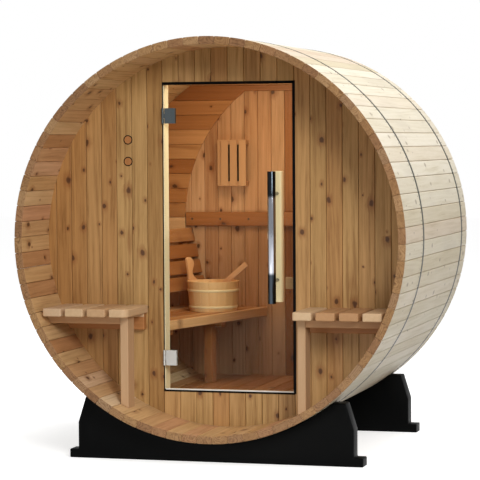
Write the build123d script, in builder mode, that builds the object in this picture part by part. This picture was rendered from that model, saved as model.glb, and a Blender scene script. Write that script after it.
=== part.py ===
# Barrel sauna: staves on two moulded cradles, an open porch with two benches, a boarded
# front wall with a glass door, and a room with two benches behind it.
# Millimetres. X runs across the barrel, Y from the front to the back, Z up from the ground.
# Depths are measured back from the front rim, and heights up from the barrel's axis.
from build123d import *
from math import cos, radians, sin, sqrt
import os

os.makedirs("parts", exist_ok=True)

# Barrel
barrel_diameter = 1828.8
barrel_length = 1524.0
stave_thickness = 35.0
segment_count = 6
first_joint_angle = 3.965
groove_depth = 10.0
groove_slack = 1.0

# Bands
band_width = 24.0
band_thickness = 1.2
front_band_depth = 404.0
back_band_inset = 148.0
band_clearance = 2.0

# Cradles
cradle_web = 98.3
cradle_thickness = 84.0
cradle_inset = 114.0
foot_half_width = 694.6
foot_height = 41.0
cradle_half_width = 652.0
shoulder_height = 165.7
cradle_height = 284.7
cradle_top_half_width = 615.0

# End walls
wall_thickness = 38.0
porch_depth = 353.0
rear_overhang = 97.0

# Doorway and its frame
opening_width = 633.0
opening_x = 5.5
head_wall_height = 158.4
sill_wall_height = 160.4
stop_width = 4.0
stop_thickness = 25.0
casing_width = 60.0
casing_thickness = 46.0

# Glass door
glass_thickness = 8.0
hinge_side_gap = 8.0
door_gap = 6.0

# Hinges
hinge_height = 71.0
upper_hinge_drop = 156.5
lower_hinge_rise = 154.5
pin_radius = 3.0
pin_clearance = 0.3
knuckle_radius = 6.5
knuckle_gap = 1.0
pin_setback = 5.0
pin_standoff = 7.5
leaf_thickness = 3.0
leaf_reach = 11.0
clamp_width = 51.0
clamp_thickness = 6.0
back_clamp_width = 37.0
clamp_bolt_radius = 5.0
clamp_bolt_spacing = 36.0
bolt_clearance = 1.0

# Door pull: a steel bar outside and a wooden bar inside on shared standoffs
pull_length = 606.0
pull_z = 3.0
pull_edge_distance = 93.0
steel_bar_radius = 19.0
steel_bar_standoff = 55.0
wood_bar_size = 44.0
wood_bar_standoff = 36.0
wood_bar_fillet = 13.0
standoff_radius = 8.0
standoff_spacing = 400.0

# Vents
vent_radius = 18.5
vent_x = -480.0
vent_heights = {"upper": 454.0, "lower": 353.0}
vent_recess = 10.0
vent_flange = 7.0
vent_flange_thickness = 5.0
vent_clearance = 0.3

# Porch benches
porch_slat_count = 4
porch_slat_width = 89.0
porch_slat_gap = 18.0
porch_slat_thickness = 38.0
porch_seat_rise = 561.4
porch_slat_end_gap = 7.0
porch_slat_setback = 45.0
porch_corner_radius = {"left": 34.0, "right": 12.0}
porch_rail_setback = 120.0
porch_rail_height = 35.0
porch_rail_thickness = 38.0
porch_cleat_height = 76.0
porch_cleat_thickness = 38.0
porch_cleat_end_gap = 8.0
porch_post_offset = {"left": 21.0, "right": 6.0}
porch_post_width = 38.0
porch_post_thickness = 89.0

# Room floor and benches
floor_rise = 129.4
floor_thickness = 28.0
seat_rise = 350.0
seat_slat_count = 4
seat_slat_width = 89.0
seat_slat_gap = 12.0
seat_slat_thickness = 38.0
nosing_width = 38.0
nosing_height = 45.0
seat_end_gap = 12.0
seat_front_gap = 5.0
seat_turn = 13.0
bearer_width = 40.0
bearer_height = 34.0
bearer_setback = 30.0
bearer_front_inset = 60.0
bearer_back_inset = 402.0
leg_size = 45.0
leg_inset = 85.0

# Backrests
backrest_seat_width = 289.0
backrest_lean = 12.7
backrest_slat_count = 4
backrest_slat_width = 70.0
backrest_slat_gap = 13.0
backrest_slat_thickness = 20.0
backrest_slat_rise = 95.0
backrest_end_gap = 12.0
batten_thickness = 30.0
batten_width = 45.0
batten_front_inset = 120.0
batten_back_inset = 192.0

# Guard rail behind the doorway, back wall rail and lamp shade
guard_inner = 256.0
guard_height = 54.0
guard_thickness = 22.0
guard_z = -214.0
rail_height = 70.0
rail_thickness = 20.0
rail_half_length = 517.0
rail_z = 48.0
shade_x = -249.5
shade_z = 335.0
shade_width = 132.0
shade_height = 234.0
shade_depth = 60.0
shade_slat_count = 3
shade_slat_gap = 10.0
shade_slat_thickness = 10.0
shade_batten_height = 24.0
shade_side_width = 22.0
shade_side_setback = 14.0

# Back wall lining: level boards round an arch that leaves the upright boards bare
lining_thickness = 10.0
lining_arc_x = 288.0
lining_arc_z = 54.0
lining_arc_radius = 810.0
lining_head_z = 700.0
lining_foot_z = -20.0
lining_gap = 2.0

# Pail and ladle
pail_radius = 131.0
pail_base_radius = 117.0
pail_height = 149.0
pail_wall = 12.0
pail_inset = 131.0
pail_back_inset = 327.4
ear_width = 72.0
ear_height = 116.0
ear_overlap = 30.0
ear_angle = 162.0
ladle_length = 296.0
ladle_width = 26.0
ladle_thickness = 10.0
ladle_tilt = 49.4
ladle_cup_radius = 26.0
ladle_cup_height = 40.0
ladle_cup_wall = 3.0
ladle_cup_gap = 2.0

# Worked out from the sizes above
barrel_radius = barrel_diameter / 2
inner_radius = barrel_radius - stave_thickness
wall_radius = inner_radius + groove_depth - groove_slack
axis_height = barrel_radius + cradle_web
front_rim = -barrel_length / 2
wall_front = front_rim + porch_depth
wall_back = wall_front + wall_thickness
back_wall_back = -front_rim - rear_overhang
back_wall_front = back_wall_back - wall_thickness
band_centres = (front_rim + front_band_depth, -front_rim - back_band_inset)
opening_left = opening_x - opening_width / 2
opening_right = opening_x + opening_width / 2
opening_bottom = -inner_radius + sill_wall_height
opening_top = inner_radius - head_wall_height
casing_back = wall_back + casing_thickness
floor_height = -inner_radius + floor_rise
seat_height = floor_height + seat_rise
porch_seat_height = -inner_radius + porch_seat_rise


def save(part, name):
    part.part.label = name
    export_step(part.part, f"parts/{name}.step")


# A plane that faces the front at one depth, with its origin on the barrel's axis.
def facing(y):
    return Plane(origin=(0, y, axis_height), x_dir=(1, 0, 0), z_dir=(0, -1, 0))


# A level plane at one height above the barrel's axis.
def level(z):
    return Plane.XY.offset(axis_height + z)


def block(x_span, y_span, z_span, mode=Mode.ADD):
    spans = (x_span, y_span, z_span)
    centre = [sum(span) / 2 for span in spans]
    with Locations((centre[0], centre[1], axis_height + centre[2])):
        Box(*(span[1] - span[0] for span in spans), mode=mode)


# Half the width inside the barrel at one height
def half_width(z):
    return sqrt(inner_radius**2 - z**2)


# The span between two distances from the middle, on the left (-1) or the right (1).
def beside(side, near, far):
    return tuple(sorted((side * near, side * far)))


def trim_to_barrel():
    with Locations((0, 0, axis_height)):
        Cylinder(inner_radius, barrel_length, rotation=(90, 0, 0), mode=Mode.INTERSECT)


# Barrel shell: each segment is a run of staves, with grooves for the two end walls.
barrel_axis = Axis((0, 0, axis_height), (0, -1, 0))
segment_angle = 360 / segment_count
for index in range(segment_count):
    angle = radians(first_joint_angle + index * segment_angle)
    stave_edge = Plane(
        origin=(0, 0, axis_height),
        x_dir=(0, 1, 0),
        z_dir=(sin(angle), 0, -cos(angle)),
    )
    with BuildPart() as segment:
        with BuildSketch(stave_edge):
            with Locations((0, inner_radius + stave_thickness / 2)):
                Rectangle(barrel_length, stave_thickness)
            groove_centre = inner_radius + groove_depth / 2
            for wall_middle in (wall_front + wall_thickness / 2, back_wall_front + wall_thickness / 2):
                with Locations((wall_middle, groove_centre)):
                    Rectangle(wall_thickness, groove_depth, mode=Mode.SUBTRACT)
        revolve(axis=barrel_axis, revolution_arc=segment_angle)
    save(segment, f"shell_{index + 1}")

# Bands round the barrel
for name, centre in zip(("front", "back"), band_centres):
    with BuildPart() as band:
        with BuildSketch(facing(centre + band_width / 2)):
            Circle(barrel_radius + band_thickness)
            Circle(barrel_radius, mode=Mode.SUBTRACT)
        extrude(amount=band_width)
    save(band, f"band_{name}")


# Cradles: a saddle on a wide foot, with a channel where a band passes.
def cradle(name, front_face):
    ground = -axis_height
    with BuildPart() as saddle:
        with BuildSketch(facing(front_face + cradle_thickness)):
            with BuildLine() as outline:
                Polyline(
                    (0, ground),
                    (foot_half_width, ground),
                    (foot_half_width, ground + foot_height),
                    (cradle_half_width, ground + foot_height),
                    (cradle_half_width, ground + shoulder_height),
                    (cradle_top_half_width, ground + cradle_height),
                    (0, ground + cradle_height),
                )
                mirror(about=Plane.YZ)
            make_face()
            Circle(barrel_radius, mode=Mode.SUBTRACT)
        extrude(amount=cradle_thickness)
        channel_width = band_width + 2 * band_clearance
        for centre in band_centres:
            with BuildSketch(facing(centre + channel_width / 2)):
                Circle(barrel_radius + band_thickness)
            extrude(amount=channel_width, mode=Mode.SUBTRACT)
    save(saddle, f"cradle_{name}")


cradle("front", front_rim + cradle_inset)
cradle("back", -front_rim - cradle_inset - cradle_thickness)


# Front wall, in four panels round the doorway
def wall_panel(name, x_span, z_span, holes=()):
    with BuildPart() as panel:
        with BuildSketch(facing(wall_back)):
            Circle(wall_radius)
            with Locations((sum(x_span) / 2, sum(z_span) / 2)):
                Rectangle(x_span[1] - x_span[0], z_span[1] - z_span[0], mode=Mode.INTERSECT)
            for hole in holes:
                with Locations(hole):
                    Circle(vent_radius, mode=Mode.SUBTRACT)
        extrude(amount=wall_thickness)
    save(panel, f"front_wall_{name}")


full_height = (-wall_radius, wall_radius)
vent_holes = [(vent_x, height) for height in vent_heights.values()]
wall_panel("left", (-wall_radius, opening_left), full_height, vent_holes)
wall_panel("right", (opening_right, wall_radius), full_height)
wall_panel("head", (opening_left, opening_right), (opening_top, wall_radius))
wall_panel("sill", (opening_left, opening_right), (-wall_radius, opening_bottom))

# Vent plugs, pushed in from the room until their flange meets the wall
for name, height in vent_heights.items():
    with BuildPart() as plug:
        with BuildSketch(facing(wall_back)):
            with Locations((vent_x, height)):
                Circle(vent_radius - vent_clearance)
        extrude(amount=wall_thickness - vent_recess)
        with BuildSketch(facing(wall_back + vent_flange_thickness)):
            with Locations((vent_x, height)):
                Circle(vent_radius + vent_flange)
        extrude(amount=vent_flange_thickness)
    save(plug, f"vent_plug_{name}")

# Door frame: each piece has a casing behind the wall and a stop inside the opening
stop_span = (wall_back - stop_thickness, wall_back)
casing_span = (wall_back, casing_back)
clear_left = opening_left + stop_width
clear_right = opening_right - stop_width
clear_bottom = opening_bottom + stop_width
clear_top = opening_top - stop_width
upright_height = (opening_bottom - casing_width, opening_top + casing_width)

with BuildPart() as frame_left:
    block((opening_left - casing_width, clear_left), casing_span, upright_height)
    block((opening_left, clear_left), stop_span, (opening_bottom, opening_top))
save(frame_left, "door_frame_left")

with BuildPart() as frame_right:
    block((clear_right, opening_right + casing_width), casing_span, upright_height)
    block((clear_right, opening_right), stop_span, (opening_bottom, opening_top))
save(frame_right, "door_frame_right")

with BuildPart() as frame_head:
    block((clear_left, clear_right), casing_span, (clear_top, opening_top + casing_width))
    block((clear_left, clear_right), stop_span, (clear_top, opening_top))
save(frame_head, "door_frame_head")

with BuildPart() as frame_sill:
    block((clear_left, clear_right), casing_span, (opening_bottom - casing_width, clear_bottom))
    block((clear_left, clear_right), stop_span, (opening_bottom, clear_bottom))
save(frame_sill, "door_frame_sill")

# Back wall and the rail across it
with BuildPart() as back_wall:
    with BuildSketch(facing(back_wall_back)):
        Circle(wall_radius)
    extrude(amount=wall_thickness)
save(back_wall, "back_wall")

with BuildPart() as back_rail:
    block(
        (-rail_half_length, rail_half_length),
        (back_wall_front - rail_thickness, back_wall_front),
        (rail_z - rail_height / 2, rail_z + rail_height / 2),
    )
save(back_rail, "back_wall_rail")

# Guard rail on the right door casing, reaching a little way into the doorway
with BuildPart() as guard:
    block(
        (guard_inner, opening_right + casing_width),
        (casing_back, casing_back + guard_thickness),
        (guard_z - guard_height / 2, guard_z + guard_height / 2),
    )
save(guard, "guard_rail")

# Lamp shade: upright slats on two battens that stand off the back wall
shade_left = shade_x - shade_width / 2
shade_front = back_wall_front - shade_depth
shade_bottom = shade_z - shade_height / 2
shade_top = shade_z + shade_height / 2
slat_step = (shade_width + shade_slat_gap) / shade_slat_count
with BuildPart() as shade:
    block(
        (shade_left - shade_side_width, shade_left),
        (shade_front + shade_side_setback, back_wall_front),
        (shade_bottom, shade_top),
    )
    for bottom in (shade_bottom, shade_top - shade_batten_height):
        block(
            (shade_left, shade_left + shade_width),
            (shade_front + shade_slat_thickness, back_wall_front),
            (bottom, bottom + shade_batten_height),
        )
    for index in range(shade_slat_count):
        left = shade_left + index * slat_step
        block(
            (left, left + slat_step - shade_slat_gap),
            (shade_front, shade_front + shade_slat_thickness),
            (shade_bottom, shade_top),
        )
save(shade, "lamp_shade")

# Floor deck, wedged between the staves behind the door frame
with BuildPart() as floor_deck:
    block(
        (-inner_radius, inner_radius),
        (casing_back, back_wall_front),
        (floor_height - floor_thickness, floor_height),
    )
    trim_to_barrel()
save(floor_deck, "floor_deck")

# Back wall lining, with room for the rail
with BuildPart() as lining:
    with BuildSketch(facing(back_wall_front)):
        with Locations((-inner_radius / 2, (inner_radius + lining_foot_z) / 2)):
            Rectangle(inner_radius, inner_radius - lining_foot_z)
        with Locations((lining_arc_x, lining_arc_z)):
            Circle(lining_arc_radius, mode=Mode.SUBTRACT)
        rail_room = rail_half_length + lining_gap
        rail_top = rail_z + rail_height / 2 + lining_gap
        with Locations((-rail_room / 2, (rail_top + lining_foot_z) / 2)):
            Rectangle(rail_room, rail_top - lining_foot_z, mode=Mode.SUBTRACT)
        with Locations((-inner_radius / 2, (inner_radius + lining_head_z) / 2)):
            Rectangle(inner_radius, inner_radius - lining_head_z)
        mirror(about=Plane.YZ)
        Circle(inner_radius, mode=Mode.INTERSECT)
    extrude(amount=lining_thickness)
save(lining, "back_wall_lining")

# Room benches: slats and a nosing on two cross bearers, with a leg under the back bearer.
# Each is built straight along the room, then turned to face the door and cut to the room.
seat_front = casing_back + seat_front_gap
seat_overrun = 140.0
bearer_top = seat_height - seat_slat_thickness
bearer_bottom = bearer_top - bearer_height
seat_width = nosing_width + seat_slat_count * (seat_slat_gap + seat_slat_width)
seat_inner = half_width(bearer_top) - seat_end_gap - seat_width
seat_span = (seat_front - seat_overrun, back_wall_front + seat_overrun)
seat_run = (back_wall_front - seat_front) / cos(radians(seat_turn))
bearer_positions = (bearer_front_inset, seat_run - bearer_back_inset)
batten_positions = (batten_front_inset, seat_run - batten_back_inset)


# A point on a turned seat, from its distance out from the nosing and back along the bench.
def seat_point(side, across, along):
    turn = radians(seat_turn)
    return (
        side * (seat_inner + across * cos(turn) - along * sin(turn)),
        seat_front + across * sin(turn) + along * cos(turn),
    )


def turn_and_cut(straight, side, back_gap=0.0):
    with BuildPart() as turned:
        add(straight.part.rotate(Axis((side * seat_inner, seat_front, 0), (0, 0, 1)), side * seat_turn))
        trim_to_barrel()
        block(
            (-inner_radius, inner_radius),
            (seat_front, back_wall_front - back_gap),
            (-inner_radius, inner_radius),
            mode=Mode.INTERSECT,
        )
    return turned


for side, name in ((-1, "left"), (1, "right")):
    with BuildPart() as bench:
        block(
            beside(side, seat_inner, seat_inner + nosing_width),
            seat_span,
            (seat_height - nosing_height, seat_height),
        )
        for index in range(seat_slat_count):
            near = seat_inner + nosing_width + seat_slat_gap + index * (seat_slat_width + seat_slat_gap)
            block(
                beside(side, near, near + seat_slat_width),
                seat_span,
                (seat_height - seat_slat_thickness, seat_height),
            )
        for position in bearer_positions:
            block(
                beside(side, seat_inner + bearer_setback, barrel_diameter),
                (seat_front + position - bearer_width / 2, seat_front + position + bearer_width / 2),
                (bearer_bottom, bearer_top),
            )
    save(turn_and_cut(bench, side), f"room_bench_{name}")

    leg_middle = seat_front + bearer_positions[-1]
    with BuildPart() as leg:
        block(
            beside(side, seat_inner + leg_inset, seat_inner + leg_inset + leg_size),
            (leg_middle - leg_size / 2, leg_middle + leg_size / 2),
            (floor_height, bearer_bottom),
        )
    save(turn_and_cut(leg, side), f"room_bench_leg_{name}")

# Backrests: leaning slats on two battens that stand on the seat
slat_pitch = backrest_slat_width + backrest_slat_gap
backrest_length = backrest_slat_rise + backrest_slat_count * slat_pitch - backrest_slat_gap
backrest_back = back_wall_front + seat_overrun
backrest_base = seat_inner + backrest_seat_width
for side, name in ((-1, "left"), (1, "right")):
    tilt = -side * backrest_lean
    up = Vector(side * sin(radians(backrest_lean)), cos(radians(backrest_lean)))
    forward = Vector(-side * cos(radians(backrest_lean)), sin(radians(backrest_lean)))
    base = Vector(side * backrest_base, seat_height)
    with BuildPart() as backrest:
        with BuildSketch(facing(backrest_back)):
            for index in range(backrest_slat_count):
                rise = backrest_slat_rise + index * slat_pitch + backrest_slat_width / 2
                centre = base + up * rise - forward * (backrest_slat_thickness / 2)
                with Locations(Location((centre.X, centre.Y, 0), (0, 0, tilt))):
                    Rectangle(backrest_slat_thickness, backrest_slat_width)
        extrude(amount=seat_span[1] - seat_span[0])
        for position in batten_positions:
            with BuildSketch(facing(seat_front + position + batten_width)):
                centre = base + up * (backrest_length / 2)
                centre -= forward * (backrest_slat_thickness + batten_thickness / 2)
                with Locations(Location((centre.X, centre.Y, 0), (0, 0, tilt))):
                    Rectangle(batten_thickness, backrest_length)
                with Locations((centre.X, seat_height - backrest_length / 2)):
                    Rectangle(backrest_length, backrest_length, mode=Mode.SUBTRACT)
            extrude(amount=batten_width)
    save(turn_and_cut(backrest, side, backrest_end_gap), f"backrest_{name}")

# Pail on the left seat, with one tall stave as its handle
pail_x, pail_y = seat_point(-1, pail_inset, seat_run - pail_back_inset)
pail_base = axis_height + seat_height
ear_out = (cos(radians(ear_angle)), sin(radians(ear_angle)), 0)
ear_plane = Plane(
    origin=(pail_x + pail_radius * ear_out[0], pail_y + pail_radius * ear_out[1], pail_base + pail_height),
    x_dir=(-ear_out[1], ear_out[0], 0),
    z_dir=ear_out,
)
ear_foot = ear_overlap / ear_height
ear_inner_edge = (
    (-0.5, 0), (-0.15, 0.13), (0.07, 0.27), (0.125, 0.39), (0.03, 0.53), (-0.055, 0.67),
    (-0.03, 0.79), (0.11, 0.915), (0.36, 0.99), (0.64, 1.0), (0.79, 0.92),
)
ear_outer_edge = (ear_inner_edge[-1], (0.72, 0.72), (0.58, 0.38), (0.5, 0))
ear_right, ear_left = ear_outer_edge[-1][0], ear_inner_edge[0][0]


# Points of the ear, from shares of its width and height.
def ear_points(shares):
    return [(across * ear_width, up * ear_height) for across, up in shares]


with BuildPart() as pail:
    with BuildSketch(Plane(origin=(pail_x, pail_y, pail_base), x_dir=(1, 0, 0), z_dir=(0, -1, 0))):
        Polygon(
            (0, 0),
            (pail_base_radius, 0),
            (pail_radius, pail_height),
            (pail_radius - pail_wall, pail_height),
            (pail_base_radius - pail_wall, pail_wall),
            (0, pail_wall),
            align=None,
        )
    revolve(axis=Axis((pail_x, pail_y, 0), (0, 0, 1)))
    with BuildSketch(ear_plane):
        with BuildLine():
            Polyline(*ear_points(((ear_right, 0), (ear_right, -ear_foot), (ear_left, -ear_foot), (ear_left, 0))))
            Spline(*ear_points(ear_inner_edge))
            Spline(*ear_points(ear_outer_edge))
        make_face()
    extrude(amount=-pail_wall)
save(pail, "pail")

# Ladle: a cup low in the pail and a flat handle that leans over the rim
ladle_x = pail_x - pail_base_radius + pail_wall + ladle_cup_radius + ladle_cup_gap
ladle_foot = (ladle_x, pail_y, axis_height + seat_height + pail_wall)
handle_start = (ladle_x + ladle_cup_radius, pail_y, ladle_foot[2] + ladle_cup_height * 0.8)
handle_plane = Plane(
    origin=handle_start,
    x_dir=(0, 1, 0),
    z_dir=(sin(radians(ladle_tilt)), 0, cos(radians(ladle_tilt))),
)
with BuildPart() as ladle:
    with BuildSketch(handle_plane.offset(-ladle_cup_wall)):
        Rectangle(ladle_thickness, ladle_width)
    extrude(amount=ladle_length)
    with BuildSketch(Plane(origin=ladle_foot)):
        Circle(ladle_cup_radius)
    extrude(amount=ladle_cup_height)
    with BuildSketch(Plane(origin=ladle_foot).offset(ladle_cup_wall)):
        Circle(ladle_cup_radius - ladle_cup_wall)
    extrude(amount=ladle_cup_height, mode=Mode.SUBTRACT)
save(ladle, "ladle")

# Porch benches: loose slats on a front rail, a rear cleat and a post
porch_slat_under = porch_seat_height - porch_slat_thickness
porch_seat_width = porch_slat_count * (porch_slat_width + porch_slat_gap) - porch_slat_gap
porch_slat_inner = half_width(porch_slat_under) - porch_slat_end_gap - porch_seat_width
rail_front = front_rim + porch_rail_setback
for side, name in ((-1, "left"), (1, "right")):
    for index in range(porch_slat_count):
        near = porch_slat_inner + index * (porch_slat_width + porch_slat_gap)
        with BuildPart() as slat:
            block(
                beside(side, near, near + porch_slat_width),
                (front_rim + porch_slat_setback, wall_front),
                (porch_slat_under, porch_seat_height),
            )
            if index == 0:
                corner = slat.edges().filter_by(Axis.Z).group_by(Axis.Y)[0].sort_by(Axis.X)[-1 if side < 0 else 0]
                fillet(corner, porch_corner_radius[name])
            trim_to_barrel()
        save(slat, f"porch_{name}_slat_{index + 1}")

    post_inner = porch_slat_inner + porch_post_offset[name]
    post_outer = post_inner + porch_post_width
    with BuildPart() as post:
        block(
            beside(side, post_inner, post_outer),
            (rail_front, rail_front + porch_post_thickness),
            (-inner_radius, porch_slat_under),
        )
        trim_to_barrel()
    save(post, f"porch_{name}_post")

    with BuildPart() as rail:
        block(
            beside(side, post_outer, inner_radius),
            (rail_front, rail_front + porch_rail_thickness),
            (porch_slat_under - porch_rail_height, porch_slat_under),
        )
        trim_to_barrel()
    save(rail, f"porch_{name}_rail")

    with BuildPart() as cleat:
        block(
            beside(side, porch_slat_inner + porch_cleat_end_gap, inner_radius),
            (wall_front - porch_cleat_thickness, wall_front),
            (porch_slat_under - porch_cleat_height, porch_slat_under),
        )
        trim_to_barrel()
    save(cleat, f"porch_{name}_cleat")

# Hinges: the pin stands just in front of the wall, and clear of the opening's edge
pin_x = opening_left + pin_setback
pin_y = wall_front - pin_standoff
glass_left = opening_left + hinge_side_gap
glass_right = opening_right - door_gap
glass_bottom = opening_bottom + door_gap
glass_top = opening_top - door_gap
glass_back = wall_front + glass_thickness
knuckle_length = hinge_height / 3
clamp_left = pin_x + knuckle_radius + knuckle_gap
clamp_right = clamp_left + clamp_width
bolt_x = clamp_right - back_clamp_width / 2
leaf_back = wall_front + leaf_reach
clamp_web = (pin_y - clamp_thickness / 2, pin_y + clamp_thickness / 2)


def bolt_places(middle):
    return [(bolt_x, middle + offset) for offset in (-clamp_bolt_spacing / 2, clamp_bolt_spacing / 2)]


def hinge(name, middle):
    bottom = middle - hinge_height / 2
    top = middle + hinge_height / 2
    knuckle_bottom = middle - knuckle_length / 2 + knuckle_gap
    knuckle_top = middle + knuckle_length / 2 - knuckle_gap
    with BuildPart() as leaf:
        for low in (bottom, middle + knuckle_length / 2):
            with BuildSketch(level(low)):
                with Locations((pin_x, pin_y)):
                    Circle(knuckle_radius)
            extrude(amount=knuckle_length)
            block((opening_left, pin_x), (pin_y, wall_front), (low, low + knuckle_length))
        block((opening_left, opening_left + leaf_thickness), (wall_front, leaf_back), (bottom, top))
        with BuildSketch(level(bottom)):
            with Locations((pin_x, pin_y)):
                Circle(pin_radius)
        extrude(amount=hinge_height)
    save(leaf, f"hinge_{name}_leaf")

    with BuildPart() as clamp:
        with BuildSketch(level(knuckle_bottom)):
            with Locations((pin_x, pin_y)):
                Circle(knuckle_radius)
        extrude(amount=knuckle_top - knuckle_bottom)
        block((pin_x, clamp_left), clamp_web, (knuckle_bottom, knuckle_top))
        with BuildSketch(level(knuckle_bottom)):
            with Locations((pin_x, pin_y)):
                Circle(pin_radius + pin_clearance)
        extrude(amount=knuckle_top - knuckle_bottom, mode=Mode.SUBTRACT)
        block((clamp_left, clamp_right), (wall_front - clamp_thickness, wall_front), (bottom, top))
        block(
            (clamp_right - back_clamp_width, clamp_right),
            (glass_back, glass_back + clamp_thickness),
            (bottom, top),
        )
        with BuildSketch(facing(glass_back)):
            with Locations(*bolt_places(middle)):
                Circle(clamp_bolt_radius)
        extrude(amount=glass_thickness)
    save(clamp, f"hinge_{name}_clamp")


hinge_middles = {"upper": opening_top - upper_hinge_drop, "lower": opening_bottom + lower_hinge_rise}
for hinge_name, hinge_middle in hinge_middles.items():
    hinge(hinge_name, hinge_middle)

# Glass, drilled for the hinge bolts and the pull's standoffs
pull_x = glass_right - pull_edge_distance + door_gap
standoff_heights = (pull_z - standoff_spacing / 2, pull_z + standoff_spacing / 2)
steel_bar_y = wall_front - steel_bar_standoff
wood_bar_front = glass_back + wood_bar_standoff
with BuildPart() as glass:
    block((glass_left, glass_right), (wall_front, glass_back), (glass_bottom, glass_top))
    with BuildSketch(facing(glass_back)):
        for hinge_middle in hinge_middles.values():
            with Locations(*bolt_places(hinge_middle)):
                Circle(clamp_bolt_radius + bolt_clearance)
        with Locations(*((pull_x, height) for height in standoff_heights)):
            Circle(standoff_radius + bolt_clearance)
    extrude(amount=glass_thickness, mode=Mode.SUBTRACT)
save(glass, "door_glass")

with BuildPart() as steel_bar:
    with BuildSketch(level(pull_z - pull_length / 2)):
        with Locations((pull_x, steel_bar_y)):
            Circle(steel_bar_radius)
    extrude(amount=pull_length)
    with BuildSketch(facing(wood_bar_front)):
        with Locations(*((pull_x, height) for height in standoff_heights)):
            Circle(standoff_radius)
    extrude(amount=wood_bar_front - steel_bar_y)
save(steel_bar, "pull_steel_bar")

with BuildPart() as wood_bar:
    block(
        (pull_x - wood_bar_size / 2, pull_x + wood_bar_size / 2),
        (wood_bar_front, wood_bar_front + wood_bar_size),
        (pull_z - pull_length / 2, pull_z + pull_length / 2),
    )
    fillet(wood_bar.edges().filter_by(Axis.Z), wood_bar_fillet)
save(wood_bar, "pull_wood_bar")
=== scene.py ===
import math
import random

import bmesh
import bpy
from mathutils import Matrix, Vector


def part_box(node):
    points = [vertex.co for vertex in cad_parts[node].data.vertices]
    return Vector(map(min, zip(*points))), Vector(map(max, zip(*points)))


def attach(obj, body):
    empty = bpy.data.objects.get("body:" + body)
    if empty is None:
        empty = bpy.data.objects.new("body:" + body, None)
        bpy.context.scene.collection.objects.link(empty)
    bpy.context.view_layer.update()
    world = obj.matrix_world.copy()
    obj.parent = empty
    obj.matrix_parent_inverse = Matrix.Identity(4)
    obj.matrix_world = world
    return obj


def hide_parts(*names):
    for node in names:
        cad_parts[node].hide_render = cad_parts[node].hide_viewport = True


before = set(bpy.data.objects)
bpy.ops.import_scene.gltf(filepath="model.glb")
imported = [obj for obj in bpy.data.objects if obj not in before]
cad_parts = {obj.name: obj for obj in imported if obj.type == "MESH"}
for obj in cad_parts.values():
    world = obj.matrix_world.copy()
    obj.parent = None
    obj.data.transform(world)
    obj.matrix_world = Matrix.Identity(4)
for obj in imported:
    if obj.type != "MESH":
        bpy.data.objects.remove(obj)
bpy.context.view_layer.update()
scene = bpy.context.scene
print("frame loaded")


# A node socket that takes part in plain Python sums.
class Wire:
    def __init__(self, graph, socket):
        self.graph, self.socket = graph, socket

    def maths(self, operation, other, flipped=False):
        first, second = (other, self) if flipped else (self, other)
        kinds = [getattr(getattr(end, "socket", None), "type", "") for end in (first, second)]
        node = "ShaderNodeVectorMath" if "VECTOR" in kinds else "ShaderNodeMath"
        return self.graph.make(node, {"operation": operation}, {0: first, 1: second})

    def __add__(self, other): return self.maths("ADD", other)
    def __radd__(self, other): return self.maths("ADD", other, True)
    def __sub__(self, other): return self.maths("SUBTRACT", other)
    def __rsub__(self, other): return self.maths("SUBTRACT", other, True)
    def __mul__(self, other): return self.maths("MULTIPLY", other)
    def __rmul__(self, other): return self.maths("MULTIPLY", other, True)
    def __truediv__(self, other): return self.maths("DIVIDE", other)
    def __rtruediv__(self, other): return self.maths("DIVIDE", other, True)
    def __neg__(self): return self * -1.0
    def __gt__(self, other): return self.maths("GREATER_THAN", other)
    def __lt__(self, other): return self.maths("LESS_THAN", other)

    def out(self, output):      # another output of the same node
        return Wire(self.graph, self.socket.node.outputs[output])


class Graph:
    def __init__(self, tree):
        self.tree = tree

    # Settings go in first, then each socket gets its value or its link.
    def make(self, kind, settings=None, inputs=None, output=0):
        node = self.tree.nodes.new(kind)
        for key, value in (settings or {}).items():
            if key == "stops":
                ramp = node.color_ramp
                while len(ramp.elements) < len(value):
                    ramp.elements.new(0.5)
                for element, (place, colour) in zip(ramp.elements, value):
                    element.position = place
                    element.color = (*colour, 1.0)
            else:
                setattr(node, key, value)
        for key, value in (inputs or {}).items():
            if isinstance(value, Wire):
                self.tree.links.new(value.socket, node.inputs[key])
            else:
                node.inputs[key].default_value = value
        return Wire(self, node.outputs[output]) if node.outputs else None

    def input(self, name):
        return Wire(self, self.entry.outputs[name])

    def join(self, x, y, z):
        return self.make("ShaderNodeCombineXYZ", {}, {0: x, 1: y, 2: z})

    def parts(self, vector):
        split = self.make("ShaderNodeSeparateXYZ", {}, {0: vector})
        return split, split.out(1), split.out(2)

    def only(self, operation, value, other=0.0):
        return self.make("ShaderNodeMath", {"operation": operation}, {0: value, 1: other})

    def smooth(self, value, low, high):
        ends = {0: value, 1: low, 2: high, 3: 0.0, 4: 1.0}
        return self.make("ShaderNodeMapRange", {"interpolation_type": "SMOOTHSTEP"}, ends)

    def noise(self, vector, scale, detail, rough=0.5):
        return self.make("ShaderNodeTexNoise", {}, {
            "Vector": vector, "Scale": scale, "Detail": detail, "Roughness": rough,
        })

    def ramp(self, value, stops):
        return self.make("ShaderNodeValToRGB", {"stops": stops}, {0: value})

    def mixColour(self, factor, first, second, blend="MIX"):
        settings = {"data_type": "RGBA", "blend_type": blend}
        return self.make("ShaderNodeMix", settings, {0: factor, 6: first, 7: second}, output=2)

    # one number between low and high for each ID
    def dice(self, low, high, inputs):
        kind = {"data_type": "FLOAT"}
        return self.make("FunctionNodeRandomValue", kind, {2: low, 3: high, **inputs}, output=1)


def newMaterial(name):
    material = bpy.data.materials.new(name)
    material.use_nodes = True
    material.node_tree.nodes.clear()
    return material, Graph(material.node_tree)


def finishMaterial(graph, surface):
    graph.make("ShaderNodeOutputMaterial", {}, {"Surface": surface})


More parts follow.
